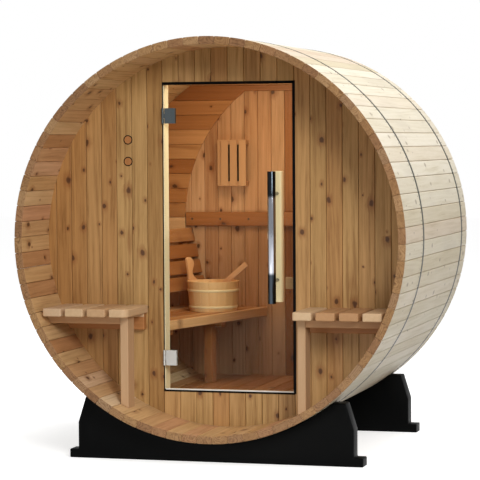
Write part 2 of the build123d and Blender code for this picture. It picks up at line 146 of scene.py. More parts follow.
def rgba(colour):
    return (*colour, 1.0)


# A colour as a paint chart gives it, 0 to 255, in linear light.
def paint(*parts):
    return tuple(((part / 255 + 0.055) / 1.055) ** 2.4 if part > 10 else part / 3295 for part in parts)


def paints(*colours):
    return [paint(*colour) for colour in colours]


# Ramp stops at even steps
def spread(colours):
    return [(step / (len(colours) - 1), colour) for step, colour in enumerate(colours)]


woodLook = {
    "alongShare": 0.035,        # how much slower the grain changes along a board
    "ringScale": 13.0, "ringCount": 7.0,
    "streakScale": 70.0,        # per metre across the board
    "fibreScale": 420.0,
    "knotScale": 9.4,           # knot cells per metre
    "knotRadius": 0.100,        # in cells
    "knotLength": 0.7,          # below 1 a knot is longer than it is wide
    "knotWobble": 0.11,
    "knotShade": 0.86, "haloShade": 0.48, "smearShade": 0.45,
    "bump": 0.22,
}
weathered = {
    "skin": (0.006, 0.002),     # depths at which the pale outside starts and is full
    "sawn": (0.0042, 0.0030),   # the same for the sawn ends
    "cloudShade": 0.12, "knotShade": 0.55,
    "poreScale": 95.0, "poreShade": 1.6,
    "arcScale": 9.0, "arcCount": 210.0, "arcShade": 0.42,
    "endShade": 0.46, "boardShare": 0.22,
}


# Wood reads three attributes of its piece: grain (across, along and through the board, in metres),
# boardShift (the board's own place in the tree) and boardTone (its own shade).
# knots is the share of cells that hold one, figure the contrast of the grain.
def woodMaterial(name, palette, knots, rough, figure=1.0, outer=None):
    look = woodLook
    material, g = newMaterial(name)
    place = g.make("ShaderNodeAttribute", {"attribute_name": "grain"}, {}, output="Vector")
    shift = g.make("ShaderNodeAttribute", {"attribute_name": "boardShift"}, {}, output="Vector")
    tone = g.make("ShaderNodeAttribute", {"attribute_name": "boardTone"}, {}, output="Fac")
    across, along, through = g.parts(place + shift)

    sway = g.noise(g.join(across, along * 0.35, through), 3.0, 1.0) - 0.5
    knotPlace = g.join(across, along * look["knotLength"], 0.0)
    wobble = (g.noise(place + shift, 55.0, 2.0) - 0.5) * look["knotWobble"]
    cell = g.make("ShaderNodeTexVoronoi", {"voronoi_dimensions": "2D"}, {
        "Vector": knotPlace, "Scale": look["knotScale"],
    })
    pick, bulk = g.parts(cell.out("Color"))[:2]
    chosen = pick < knots
    size = look["knotRadius"] * (0.30 + bulk * bulk)
    nearness = (cell.out("Distance") + wobble) / size
    core = (1.0 - g.smooth(nearness, 0.55, 1.15)) * chosen
    halo = (1.0 - g.smooth(nearness, 0.8, 3.2)) * chosen
    smearPlace = g.join(across, along * 0.16, 0.37)
    smear = g.smooth(g.noise(smearPlace, 16.0, 1.0), 0.70, 0.82)

    flow = g.join(across + sway * 0.03 + halo * 0.006, along * look["alongShare"], through)
    rings = g.noise(flow, look["ringScale"], 0.0) * look["ringCount"] * math.tau
    rings = g.only("SINE", rings) * 0.5 + 0.5
    streak = g.noise(flow, look["streakScale"], 3.0, 0.6) - 0.5
    fibre = g.noise(flow, look["fibreScale"], 2.0, 0.6) - 0.5
    cloud = g.noise(g.join(across, along * 0.3, through), 6.0, 2.0) - 0.5
    grain = 0.5 + ((rings * rings - 0.4) * 0.16 + streak + fibre * 0.45 + cloud * 0.55) * figure
    level = g.make("ShaderNodeClamp", {}, {0: grain})

    board = g.ramp(tone, spread(palette["boards"]))
    colour = g.mixColour(1.0, board, g.ramp(level, spread(palette["grain"])), "MULTIPLY")
    colour = g.mixColour(smear * look["smearShade"], colour, rgba(palette["halo"]))
    colour = g.mixColour(halo * look["haloShade"], colour, rgba(palette["halo"]))
    colour = g.mixColour(core * look["knotShade"], colour, rgba(palette["knot"]))

    if outer:       # weathered faces on the outside and sawn ends of the staves
        aged = weathered
        ownAlong, ownThrough = g.parts(place)[1:]
        outside = g.smooth(ownThrough, *(outer["half"] - depth for depth in aged["skin"]))
        pale = g.ramp(tone, spread(palette["outerBoards"]))
        pale = g.mixColour(1.0, pale, g.ramp(level, spread(palette["outerGrain"])), "MULTIPLY")
        pale = g.mixColour(g.smooth(cloud, 0.02, 0.22) * aged["cloudShade"], pale, rgba(palette["outerKnot"]))
        pale = g.mixColour(core * aged["knotShade"], pale, rgba(palette["outerKnot"]))
        colour = g.mixColour(outside, colour, pale)
        sawn = g.smooth(g.only("ABSOLUTE", ownAlong), *(outer["end"] - depth for depth in aged["sawn"]))
        pores = g.noise(place + shift, aged["poreScale"], 3.0, 0.7)
        arcs = g.noise(g.join(across, 0.0, through), aged["arcScale"], 0.0) * aged["arcCount"]
        arcs = g.only("SINE", arcs) * 0.5 + 0.5
        endLevel = arcs * aged["arcShade"] + pores * aged["poreShade"] - aged["endShade"]
        endLevel = g.make("ShaderNodeClamp", {}, {0: endLevel})
        ends = g.mixColour(aged["boardShare"], g.ramp(tone, spread(palette["endBoards"])), board)
        ends = g.mixColour(1.0, ends, g.ramp(endLevel, spread(palette["ends"])), "MULTIPLY")
        colour = g.mixColour(sawn, colour, ends)

    height = fibre * 0.6 + streak * 0.5 - core * 0.5
    bump = g.make("ShaderNodeBump", {}, {"Strength": look["bump"], "Distance": 0.001, "Height": height})
    surface = g.make(
        "ShaderNodeBsdfPrincipled", {},
        {"Base Color": colour, "Roughness": rough + (0.5 - level) * 0.14, "Normal": bump, "IOR": 1.4},
    )
    finishMaterial(g, surface)
    return material


fineGrain = [(0.62, 0.55, 0.46), (0.86, 0.83, 0.78), (1.0, 1.0, 1.0), (1.10, 1.11, 1.13)]
faintGrain = [(0.84, 0.80, 0.74), (0.94, 0.92, 0.90), (1.0, 1.0, 1.0), (1.05, 1.05, 1.06)]
cedar = {       # the front wall
    "boards": paints(
        (166, 126, 75), (184, 146, 94), (174, 138, 86), (193, 155, 103),
        (169, 123, 71), (185, 147, 97),
    ),
    "grain": fineGrain,
    "halo": paint(122, 66, 26),
    "knot": paint(68, 35, 14),
}
staveCedar = dict(
    cedar,
    boards=paints(
        (188, 147, 100), (200, 163, 117), (190, 149, 100), (206, 173, 130),
        (174, 124, 82), (204, 168, 123), (190, 140, 104), (222, 196, 160),
    ),
    outerBoards=paints(
        (208, 194, 164), (228, 218, 198), (220, 210, 188), (234, 226, 208),
        (212, 192, 168), (230, 220, 200),
    ),
    outerGrain=[(0.80, 0.77, 0.70), (0.94, 0.93, 0.90), (1.0, 1.0, 1.0), (1.05, 1.05, 1.06)],
    outerKnot=paint(120, 96, 68),
    endBoards=paints(
        (132, 94, 58), (156, 118, 78), (138, 98, 62), (166, 130, 92),
        (118, 78, 48), (150, 110, 72), (128, 92, 60),
    ),
    ends=[(0.28, 0.22, 0.16), (0.72, 0.66, 0.58), (1.0, 1.0, 0.98), (1.15, 1.16, 1.16)],
)
porchCedar = dict(
    cedar,
    boards=paints(
        (206, 181, 152), (186, 147, 108), (208, 178, 142), (178, 132, 90), (200, 163, 122),
    ),
    grain=[(0.80, 0.75, 0.68), (0.93, 0.91, 0.88), (1.0, 1.0, 1.0), (1.05, 1.05, 1.06)],
)
roomCedar = dict(
    cedar,
    boards=paints(
        (164, 106, 60), (182, 128, 80), (170, 112, 64), (194, 144, 96),
        (154, 96, 50), (184, 128, 80), (222, 176, 130),
    ),
    halo=paint(110, 52, 18),
)
rearCedar = dict(
    cedar,
    boards=paints(
        (187, 141, 102), (198, 154, 117), (188, 139, 99), (203, 163, 130),
        (193, 146, 108), (150, 94, 50),
    ),
    halo=paint(128, 66, 26),
)
frameCedar = dict(
    cedar,
    boards=paints((190, 138, 84), (204, 158, 102)),
    grain=faintGrain,
)
shadeCedar = dict(frameCedar, boards=paints((184, 138, 98), (192, 146, 106)))
# the left jamb: the frame's wood painted near white, which paints the light falling on it
paintedLightJambCedar = dict(frameCedar, boards=paints((252, 240, 206), (254, 244, 216)))
pailPine = dict(
    cedar,
    boards=paints((240, 194, 139), (246, 207, 156), (234, 187, 129), (243, 200, 147)),
    grain=faintGrain,
)
pullPine = dict(pailPine, boards=paints((248, 224, 186), (252, 232, 198)))
# the pail's handle stave: the pail's wood made darker, which paints the shade on it
shadedEarPine = dict(pailPine, boards=paints((225, 169, 119), (229, 175, 125)))
hoopPine = dict(pailPine, boards=paints((252, 231, 186), (253, 234, 193)))
ladlePine = dict(pailPine, boards=paints((218, 165, 118), (224, 171, 126)))
cleatCedar = dict(cedar, boards=paints((168, 112, 62), (176, 120, 70)))


# Where given, the last argument paints a reflection on the metal: a lighter stretch of colour between two
# heights.
def metalMaterial(name, colour, rough, grainAxis=None, metallic=1.0, paintedReflection=None):
    material, g = newMaterial(name)
    place = g.make("ShaderNodeTexCoord", {}, {}, output="Object")
    squeeze = [220.0, 220.0, 220.0]
    if grainAxis:
        squeeze["XYZ".index(grainAxis)] = 4.0
    stretched = g.make("ShaderNodeVectorMath", {"operation": "MULTIPLY"}, {0: place, 1: tuple(squeeze)})
    brushed = g.noise(stretched, 4.0, 3.0)
    smear = g.noise(place, 14.0, 2.0)
    tone = g.mixColour(smear * 0.5 + 0.1, rgba(colour), rgba(tuple(c * 0.78 for c in colour)))
    if paintedReflection:
        height, blur = g.parts(place)[2], paintedReflection["blur"]
        above = g.smooth(height, paintedReflection["low"] - blur, paintedReflection["low"] + blur)
        below = 1.0 - g.smooth(height, paintedReflection["high"] - blur, paintedReflection["high"] + blur)
        tone = g.mixColour(above * below, tone, rgba(paintedReflection["colour"]))
    bump = g.make("ShaderNodeBump", {}, {"Strength": 0.08, "Distance": 0.0003, "Height": brushed})
    surface = g.make("ShaderNodeBsdfPrincipled", {}, {
        "Base Color": tone, "Metallic": metallic, "Normal": bump,
        "Roughness": rough + (brushed - 0.5) * 0.12 + smear * 0.06,
    })
    finishMaterial(g, surface)
    return material


def mouldedMaterial(name, colour, rough):
    material, g = newMaterial(name)
    place = g.make("ShaderNodeTexCoord", {}, {}, output="Object")
    pebble = g.noise(place, 420.0, 2.0)
    dust = g.noise(place, 7.0, 4.0, 0.6)
    pale = rgba(tuple(c * 1.7 + 0.0015 for c in colour))
    tone = g.mixColour(g.smooth(dust, 0.45, 0.8) * 0.35, rgba(colour), pale)
    bump = g.make("ShaderNodeBump", {}, {"Strength": 0.25, "Distance": 0.0006, "Height": pebble})
    surface = g.make("ShaderNodeBsdfPrincipled", {}, {
        "Base Color": tone, "Roughness": rough + (dust - 0.5) * 0.16, "Normal": bump,
        "Specular IOR Level": 0.05,
    })
    finishMaterial(g, surface)
    return material


def glassMaterial(name, look):
    material, g = newMaterial(name)
    gloss = g.make("ShaderNodeBsdfGlossy", {}, {"Color": rgba(look["gloss"]), "Roughness": look["rough"]})
    clear = g.make("ShaderNodeBsdfTransparent", {}, {"Color": rgba(look["tint"])})
    fresnel = g.make("ShaderNodeFresnel", {}, {"IOR": look["index"]})
    surface = g.make("ShaderNodeMixShader", {}, {0: fresnel * look["mirror"], 1: clear, 2: gloss})
    finishMaterial(g, surface)
    return material


shellNodes = [f"shell_{number}" for number in range(1, 7)]
shellLow = Vector([min(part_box(node)[0][i] for node in shellNodes) for i in range(3)])
shellHigh = Vector([max(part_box(node)[1][i] for node in shellNodes) for i in range(3)])
barrelRadius = (shellHigh.x - shellLow.x) / 2
axisHeight = (shellHigh.z + shellLow.z) / 2
barrelLength = shellHigh.y - shellLow.y
frontRim = shellLow.y

staves = {
    "count": 78,
    "thickness": 0.035,
    "jointAngle": 3.965,        # degrees; one stave joint, measured from the right-hand side
    "gap": 0.0003, "groove": 0.0034, "grooveDepth": 0.006,
    "ease": 0.0022,
    "seed": 7,
    "unevenLength": 0.0014,
}

woodSides = {"half": staves["thickness"] / 2, "end": barrelLength / 2}
doorGlass = {
    "tint": (0.97, 0.985, 0.95), "gloss": (0.95, 1.0, 0.98), "mirror": 0.08, "index": 1.33, "rough": 0.02,
}
pullMiddle = sum(corner.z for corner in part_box("pull_steel_bar")) / 2
# painted reflection on the pull's steel bar: its colour is lighter between these heights
pullPaintedReflection = {
    "low": pullMiddle - 0.165, "high": pullMiddle + 0.185, "blur": 0.01, "colour": (0.40, 0.41, 0.45),
}
materials = {
    "stave": woodMaterial("staveCedar", staveCedar, 0.50, 0.5, 1.35, woodSides),
    "wall": woodMaterial("wallCedar", cedar, 0.78, 0.48, 1.9),
    "rear": woodMaterial("rearCedar", rearCedar, 0.62, 0.48, 1.4),
    "porch": woodMaterial("porchCedar", porchCedar, 0.04, 0.5, 0.8),
    "cleat": woodMaterial("cleatCedar", cleatCedar, 0.15, 0.5, 0.8),
    "room": woodMaterial("roomCedar", roomCedar, 0.62, 0.45),
    "frame": woodMaterial("frameCedar", frameCedar, 0.05, 0.5),
    "shade": woodMaterial("shadeCedar", shadeCedar, 0.05, 0.5),
    "paintedLightJamb": woodMaterial("paintedLightJambCedar", paintedLightJambCedar, 0.0, 0.5),
    "pull": woodMaterial("pullPine", pullPine, 0.0, 0.32, 0.6),
    "pail": woodMaterial("pailPine", pailPine, 0.0, 0.36, 0.7),
    "ear": woodMaterial("pailEar", shadedEarPine, 0.0, 0.36, 0.5),
    "ladle": woodMaterial("ladlePine", ladlePine, 0.0, 0.36, 0.7),
    "band": metalMaterial("bandSteel", (0.050, 0.052, 0.042), 0.46, None, 0.5),
    "cradle": mouldedMaterial("cradleMoulding", (0.0018, 0.0020, 0.0021), 0.45),
    "darkHinge": metalMaterial("darkHinge", (0.10, 0.12, 0.13), 0.30, "Z", 0.8),
    "lightHinge": metalMaterial("lightHinge", (0.50, 0.50, 0.48), 0.38, "Z", 0.6),
    # the pull's steel: a dark base colour that paints dark reflections, with a painted light reflection along
    # its middle
    "pullSteel": metalMaterial("pullSteel", (0.03, 0.037, 0.045), 0.10, "Z", 1.0, pullPaintedReflection),
    "glass": glassMaterial("doorGlass", doorGlass),
    # black: the door's seal strips, and the painted shade behind the lamp shade and round the vent plugs
    "seal": mouldedMaterial("doorSeal", (0.004, 0.004, 0.0045), 0.6),
    "sweep": mouldedMaterial("doorSweep", (0.72, 0.74, 0.72), 0.35),
    "hoop": woodMaterial("pailHoop", hoopPine, 0.0, 0.34, 0.5),
    "nail": metalMaterial("nailSteel", (0.10, 0.085, 0.07), 0.5),
}
print("materials made")


def newTree(name, sockets):
    tree = bpy.data.node_groups.new(name, "GeometryNodeTree")
    tree.interface.new_socket("Geometry", in_out="INPUT", socket_type="NodeSocketGeometry")
    identifiers = {}
    for label, kind in sockets.items():
        made = tree.interface.new_socket(label, in_out="INPUT", socket_type="NodeSocket" + kind)
        identifiers[label] = made.identifier
    tree.interface.new_socket("Geometry", in_out="OUTPUT", socket_type="NodeSocketGeometry")
    graph = Graph(tree)
    graph.entry = tree.nodes.new("NodeGroupInput")
    graph.identifiers = identifiers
    return graph


def endTree(graph, geometry):
    solid = graph.make("GeometryNodeRealizeInstances", {}, {0: geometry})
    done = graph.make("GeometryNodeSetMaterial", {}, {"Geometry": solid, "Material": graph.input("Material")})
    leave = graph.tree.nodes.new("NodeGroupOutput")
    graph.tree.links.new(done.socket, leave.inputs[0])


def store(graph, geometry, name, kind, domain, value):
    return graph.make(
        "GeometryNodeStoreNamedAttribute", {"data_type": kind, "domain": domain},
        {"Geometry": geometry, "Name": name, "Value": value},
    )


treeReach = 9.0     # boards come from anywhere within this far of one point of the tree


# Every repeated board gets its own shade and its own place in the tree.
def markBoards(graph, instances):
    index = graph.make("GeometryNodeInputIndex")
    source = {"ID": index, "Seed": graph.input("Seed")}
    tone = graph.dice(0.0, 1.0, source)
    far = {0: (-treeReach,) * 3, 1: (treeReach,) * 3}
    shift = graph.make("FunctionNodeRandomValue", {"data_type": "FLOAT_VECTOR"}, {**far, **source})
    toned = store(graph, instances, "boardTone", "FLOAT", "INSTANCE", tone)
    return store(graph, toned, "boardShift", "FLOAT_VECTOR", "INSTANCE", shift)


easedAngle, shadedAngle = math.radians(40), math.radians(35)    # sharper edges are eased, or stay sharp


# Runs a tree, rounds the edges, and keeps the result as a plain mesh.
def grow(name, graph, values, ease=0.0, segments=2):
    piece = bpy.data.objects.new(name, bpy.data.meshes.new(name))
    scene.collection.objects.link(piece)
    modifier = piece.modifiers.new("nodes", "NODES")
    modifier.node_group = graph.tree
    for label, value in values.items():
        modifier[graph.identifiers[label]] = value
    if ease:
        rounding = piece.modifiers.new("ease", "BEVEL")
        rounding.width, rounding.segments = ease, segments
        rounding.limit_method, rounding.angle_limit = "ANGLE", easedAngle
    depsgraph = bpy.context.evaluated_depsgraph_get()
    result = bpy.data.meshes.new_from_object(piece.evaluated_get(depsgraph), depsgraph=depsgraph)
    piece.modifiers.clear()
    piece.data = result
    result.name = name
    return piece


def settle(piece, body, slot, *nodes):
    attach(piece, body)
    if nodes:
        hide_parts(*nodes)
    return piece


def smoothShade(piece):
    for polygon in piece.data.polygons:
        polygon.use_smooth = True
    piece.data.set_sharp_from_angle(angle=shadedAngle)
    return piece


def mergedCopy(node):
    work = bmesh.new()
    work.from_mesh(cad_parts[node].data)
    bmesh.ops.remove_doubles(work, verts=work.verts, dist=1e-5)
    bmesh.ops.dissolve_limit(work, angle_limit=math.radians(1.0), verts=work.verts, edges=work.edges)
    return work


def easeEdges(work, ease, segments=2):
    sharp = [e for e in work.edges if len(e.link_faces) == 2 and e.calc_face_angle(0) > easedAngle]
    bmesh.ops.bevel(
        work, geom=sharp, offset=ease, segments=segments, affect="EDGES", profile=0.5, clamp_overlap=True,
    )


def block(work, low, high):
    middle = [(a + b) / 2 for a, b in zip(low, high)]
    size = [b - a for a, b in zip(low, high)]
    place = Matrix.Translation(middle) @ Matrix.Diagonal((*size, 1.0))
    bmesh.ops.create_cube(work, size=1.0, matrix=place)


def cylinder(work, place, radius, endRadius, depth, segments):
    bmesh.ops.create_cone(
        work, cap_ends=True, segments=segments, radius1=radius, radius2=endRadius, depth=depth, matrix=place,
    )


# Keeps what lies on one side of a plane, and returns the edges of the cut.
def cutAway(work, point, normal):
    everything = work.verts[:] + work.edges[:] + work.faces[:]
    cut = bmesh.ops.bisect_plane(
        work, geom=everything, plane_co=point, plane_no=normal, clear_outer=True, dist=1e-6,
    )
    return [item for item in cut["geom_cut"] if isinstance(item, bmesh.types.BMEdge)]


# Boards are gathered here first, so that each keeps its own number.
class Stack:
    def __init__(self):
        self.points, self.faces, self.boards = [], [], []

    def add(self, work, board):
        work.verts.index_update()
        start = len(self.points)
        self.points += [vertex.co.copy() for vertex in work.verts]
        self.faces += [[start + vertex.index for vertex in face.verts] for face in work.faces]
        number = board if callable(board) else (lambda co: board)
        self.boards += [number(vertex.co) for vertex in work.verts]
        work.free()

    # axis is the way the grain runs; turn is how far the boards are turned in plan
    def piece(self, name, material, axis, tones=(), turn=0.0):
        mesh = bpy.data.meshes.new(name)
        mesh.from_pydata(self.points, [], self.faces)
        mesh.materials.append(materials[material])
        order = {"X": (2, 0, 1), "Y": (0, 1, 2), "Z": (0, 2, 1)}[axis]
        chosen, grain, tone, shift = {}, [], [], []
        for point, board in zip(self.points, self.boards):
            if board not in chosen:
                dice = random.Random(f"{name} {board}")
                chosen[board] = (dice.random(), [dice.uniform(-treeReach, treeReach) for step in range(3)])
            x = point.x * math.cos(turn) + point.y * math.sin(turn)
            y = point.y * math.cos(turn) - point.x * math.sin(turn)
            straight = (x, y, point.z)
            grain += [straight[part] for part in order]
            tone.append(tones[board] if board in tones else chosen[board][0])
            shift += chosen[board][1]
        for label, values in (("grain", grain), ("boardTone", tone), ("boardShift", shift)):
            single = label == "boardTone"
            made = mesh.attributes.new(label, "FLOAT" if single else "FLOAT_VECTOR", "POINT")
            made.data.foreach_set("value" if single else "vector", values)
        piece = bpy.data.objects.new(name, mesh)
        scene.collection.objects.link(piece)
        return piece


# One shape as a piece of its own.
def lone(work, name, material, axis, tones=(), turn=0.0, board=0):
    stack = Stack()
    stack.add(work, board)
    return stack.piece(name, material, axis, tones, turn)


# A CAD piece again, with its edges eased and its boards told apart.
def eased(
    node, material, axis, slot="room_wood", body="sauna", ease=0.003, segments=2, board=0, tones=(), turn=0.0,
):
    work = mergedCopy(node)
    easeEdges(work, ease, segments)
    return settle(lone(work, node + "_dressed", material, axis, tones, turn, board), body, slot, node)


panels = {
    "liningWidth": 0.0735, "liningGap": 0.0015,     # the lining of the back wall
    "deckWidth": 0.092, "deckGap": 0.006, "ease": 0.002,
}


# A CAD panel cut into boards along one axis, with a gap at every joint.
def boarded(node, material, axis, cuts, wide="X"):
    stack = Stack()
    part = "XYZ".index(wide)
    for board, (start, stop) in enumerate(cuts):
        work = mergedCopy(node)
        for side, edge in ((-1.0, start), (1.0, stop)):
            normal, point = Vector(), Vector()
            normal[part], point[part] = side, edge
            rim = cutAway(work, point, normal)
            if rim:
                bmesh.ops.holes_fill(work, edges=rim, sides=0)
        if not work.faces:
            work.free()
            continue
        easeEdges(work, panels["ease"], 1)
        stack.add(work, board)
    return settle(stack.piece(node + "_boards", material, axis), "sauna", "room_wood", node)


def evenCuts(low, high, width, gap):
    count = max(1, round((high - low) / width))
    step = (high - low) / count
    return [(low + step * n + gap / 2, low + step * (n + 1) - gap / 2) for n in range(count)]


staveTree = newTree("stavesInARing", {
    "Count": "Int", "Near Radius": "Float", "Far Radius": "Float", "Thickness": "Float",
    "Length": "Float", "Start Angle": "Float", "Gap": "Float", "Groove": "Float", "Groove Depth": "Float",
    "Axis Height": "Float", "Uneven": "Float", "Seed": "Int", "Material": "Material",
})
g = staveTree
pitch = math.tau / g.input("Count")
unit = g.make("GeometryNodeMeshCube", {}, {"Vertices X": 5, "Vertices Y": 2, "Vertices Z": 4})
unitX, unitY, cubeZ = g.parts(g.make("GeometryNodeInputPosition"))
shoulder = 0.5 - g.input("Groove Depth") / g.input("Thickness")
face = g.only("ABSOLUTE", cubeZ) > 0.4      # the rows of points on the inner and the outer face
unitZ = g.only("SIGN", cubeZ) * (shoulder + (0.5 - shoulder) * face)
flare = g.input("Far Radius") - g.input("Near Radius")
outerRadius = g.input("Near Radius") + flare * (unitY + 0.5)
turn = unitX * (pitch - (g.input("Gap") + g.input("Groove") * face) / outerRadius)
reach = outerRadius - g.input("Thickness") * (0.5 - unitZ)
grain = g.join(unitX * pitch * outerRadius, unitY * g.input("Length"), unitZ * g.input("Thickness"))
curved = g.join(reach * g.only("SINE", turn), unitY * g.input("Length"), reach * g.only("COSINE", turn))
marked = store(g, unit, "grain", "FLOAT_VECTOR", "POINT", grain)
oneStave = g.make("GeometryNodeSetPosition", {}, {"Geometry": marked, "Position": curved})
index = g.make("GeometryNodeInputIndex")
slide = g.dice(-1.0, 1.0, {"ID": index, "Seed": g.input("Seed")})
spots = g.make("GeometryNodePoints", {}, {
    "Count": g.input("Count"), "Position": g.join(0.0, slide * g.input("Uneven"), g.input("Axis Height")),
})
placed = g.make("GeometryNodeInstanceOnPoints", {}, {
    "Points": spots, "Instance": oneStave,
    "Rotation": g.join(0.0, (index + 0.5) * pitch + g.input("Start Angle"), 0.0),
})
endTree(g, markBoards(g, placed))

staveShell = grow("staves", staveTree, {
    "Count": staves["count"], "Near Radius": barrelRadius, "Far Radius": barrelRadius,
    "Thickness": staves["thickness"], "Length": barrelLength - 2 * staves["unevenLength"],
    "Start Angle": math.radians(90 - staves["jointAngle"]), "Gap": staves["gap"], "Axis Height": axisHeight,
    "Groove": staves["groove"], "Groove Depth": staves["grooveDepth"],
    "Uneven": staves["unevenLength"], "Seed": staves["seed"], "Material": materials["stave"],
}, staves["ease"])
settle(staveShell, "sauna", "stave_wood", *shellNodes)
print("staves made", len(staveShell.data.polygons))

wallBoards = {
    "width": 0.0755, "rearWidth": 0.0708,
    "doorwayCount": 8,          # boards above and below the doorway
    "rearJoint": 0.005,         # where one joint of the back wall stands
    "gap": 0.0003, "groove": 0.0036, "grooveDepth": 0.005, "ease": 0.0010,
    "past": 1.0,                # beyond the round wall, which trims the boards
}
shades = {          # boards from and to these places across the wall, and their shade
    "edge": (-1.0, -0.76, 0.82), "rearDark": (0.0051, 0.08, 1.0),
    "byTheDoor": 0.0,
}

# Boards stand side by side; their ends follow the round wall, or stop at Low and High.
wallTree = newTree("wallBoards", {
    "Count": "Int", "First": "Float", "Pitch": "Float", "Gap": "Float", "Groove": "Float",
    "Groove Depth": "Float", "Front": "Float", "Thickness": "Float", "Radius": "Float",
    "Axis Height": "Float", "Low": "Float", "High": "Float", "Seed": "Int", "Material": "Material",
})
g = wallTree
cube = g.make("GeometryNodeMeshCube", {}, {"Vertices X": 9, "Vertices Y": 4, "Vertices Z": 2})
cubeX, cubeY, cubeZ = g.parts(g.make("GeometryNodeInputPosition"))
shoulder = 0.5 - g.input("Groove Depth") / g.input("Thickness")
face = g.only("ABSOLUTE", cubeY) > 0.4
board = g.make("GeometryNodeSetPosition", {}, {"Geometry": cube, "Position": g.join(
    cubeX * (1.0 - face * g.input("Groove") / g.input("Pitch")),
    g.only("SIGN", cubeY) * (shoulder + (0.5 - shoulder) * face), cubeZ,
)})
index = g.make("GeometryNodeInputIndex")
spots = g.make("GeometryNodePoints", {}, {
    "Count": g.input("Count"),
    "Position": g.join(
        g.input("First") + (index + 0.5) * g.input("Pitch"),
        g.input("Front") + g.input("Thickness") * 0.5, 0.0,
    ),
})
size = g.join(g.input("Pitch") - g.input("Gap"), g.input("Thickness"), 1.0)
placed = g.make("GeometryNodeInstanceOnPoints", {}, {
    "Points": spots, "Instance": board, "Scale": size,
})
solid = g.make("GeometryNodeRealizeInstances", {}, {0: markBoards(g, placed)})
anyX, atY, atZ = g.parts(g.make("GeometryNodeInputPosition"))
atX = g.only("MAXIMUM", g.only("MINIMUM", anyX, g.input("Radius")), -g.input("Radius"))
arc = g.only("SQRT", g.only("MAXIMUM", g.input("Radius") * g.input("Radius") - atX * atX, 0.00001))
top = g.only("MINIMUM", arc, g.input("High"))
bottom = g.only("MAXIMUM", -arc, g.input("Low"))
height = bottom + (top - bottom) * (atZ > 0.0) + g.input("Axis Height")
cut = g.make("GeometryNodeSetPosition", {}, {"Geometry": solid, "Position": g.join(atX, atY, height)})
closed = g.make("GeometryNodeMergeByDistance", {}, {"Geometry": cut, "Distance": 0.00005})
cutX, cutY, cutZ = g.parts(g.make("GeometryNodeInputPosition"))
endTree(g, store(g, closed, "grain", "FLOAT_VECTOR", "POINT", g.join(cutX, cutZ, cutY)))


# The boards are counted out from start towards stop, and the round wall trims the last one.
def boardedWall(node, start, stop, low, high, seed, width, material="wall"):
    corner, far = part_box(node)
    count = math.ceil(abs(stop - start) / width - 0.01)
    piece = grow(node + "_boards", wallTree, {
        "Count": count, "First": start if stop > start else start - count * width, "Pitch": width,
        "Gap": wallBoards["gap"], "Groove": wallBoards["groove"], "Groove Depth": wallBoards["grooveDepth"],
        "Front": corner.y, "Thickness": far.y - corner.y, "Radius": wallRadius,
        "Axis Height": axisHeight, "Low": low, "High": high, "Seed": seed, "Material": materials[material],
    }, wallBoards["ease"], 1)
    return settle(piece, "sauna", "wall_wood", node)


# Sets the shade of the boards that lie between two places across the wall.
def shadeBoards(piece, start, stop, tone):
    tones = piece.data.attributes["boardTone"].data
    for vertex in piece.data.vertices:
        if start < vertex.co.x < stop:
            tones[vertex.index].value = tone


backLow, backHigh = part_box("back_wall")
wallRadius = (backHigh.x - backLow.x) / 2
sillLow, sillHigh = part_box("front_wall_sill")
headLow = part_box("front_wall_head")[0]
doorLeft, doorRight = sillLow.x, sillHigh.x
doorBottom, doorTop = sillHigh.z - axisHeight, headLow.z - axisHeight
boardWidth, past = wallBoards["width"], wallBoards["past"]
shortWidth = (doorRight - doorLeft) / wallBoards["doorwayCount"]
frontRuns = {       # start and stop, foot and top, seed, width of a board
    "left": (doorLeft, -wallRadius, -past, past, 3, boardWidth),
    "right": (doorRight, wallRadius, -past, past, 4, boardWidth),
    "head": (doorLeft, doorRight, doorTop, past, 5, shortWidth),
    "sill": (doorLeft, doorRight, -past, doorBottom, 6, shortWidth),
}
frontWalls = {side: boardedWall(f"front_wall_{side}", *run) for side, run in frontRuns.items()}
shadeBoards(frontWalls["left"], *shades["edge"])
shadeBoards(frontWalls["left"], doorLeft - boardWidth, doorLeft, shades["byTheDoor"])
rearWidth, rearJoint = wallBoards["rearWidth"], wallBoards["rearJoint"]
rearStart = rearJoint - math.ceil((wallRadius + rearJoint) / rearWidth) * rearWidth
rearWall = boardedWall("back_wall", rearStart, wallRadius, -past, past, 9, rearWidth, "rear")
shadeBoards(rearWall, *shades["rearDark"])
liningLow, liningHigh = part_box("back_wall_lining")
liningCuts = evenCuts(liningLow.z, liningHigh.z, panels["liningWidth"], panels["liningGap"])
boarded("back_wall_lining", "room", "X", liningCuts, wide="Z")
print("walls made")

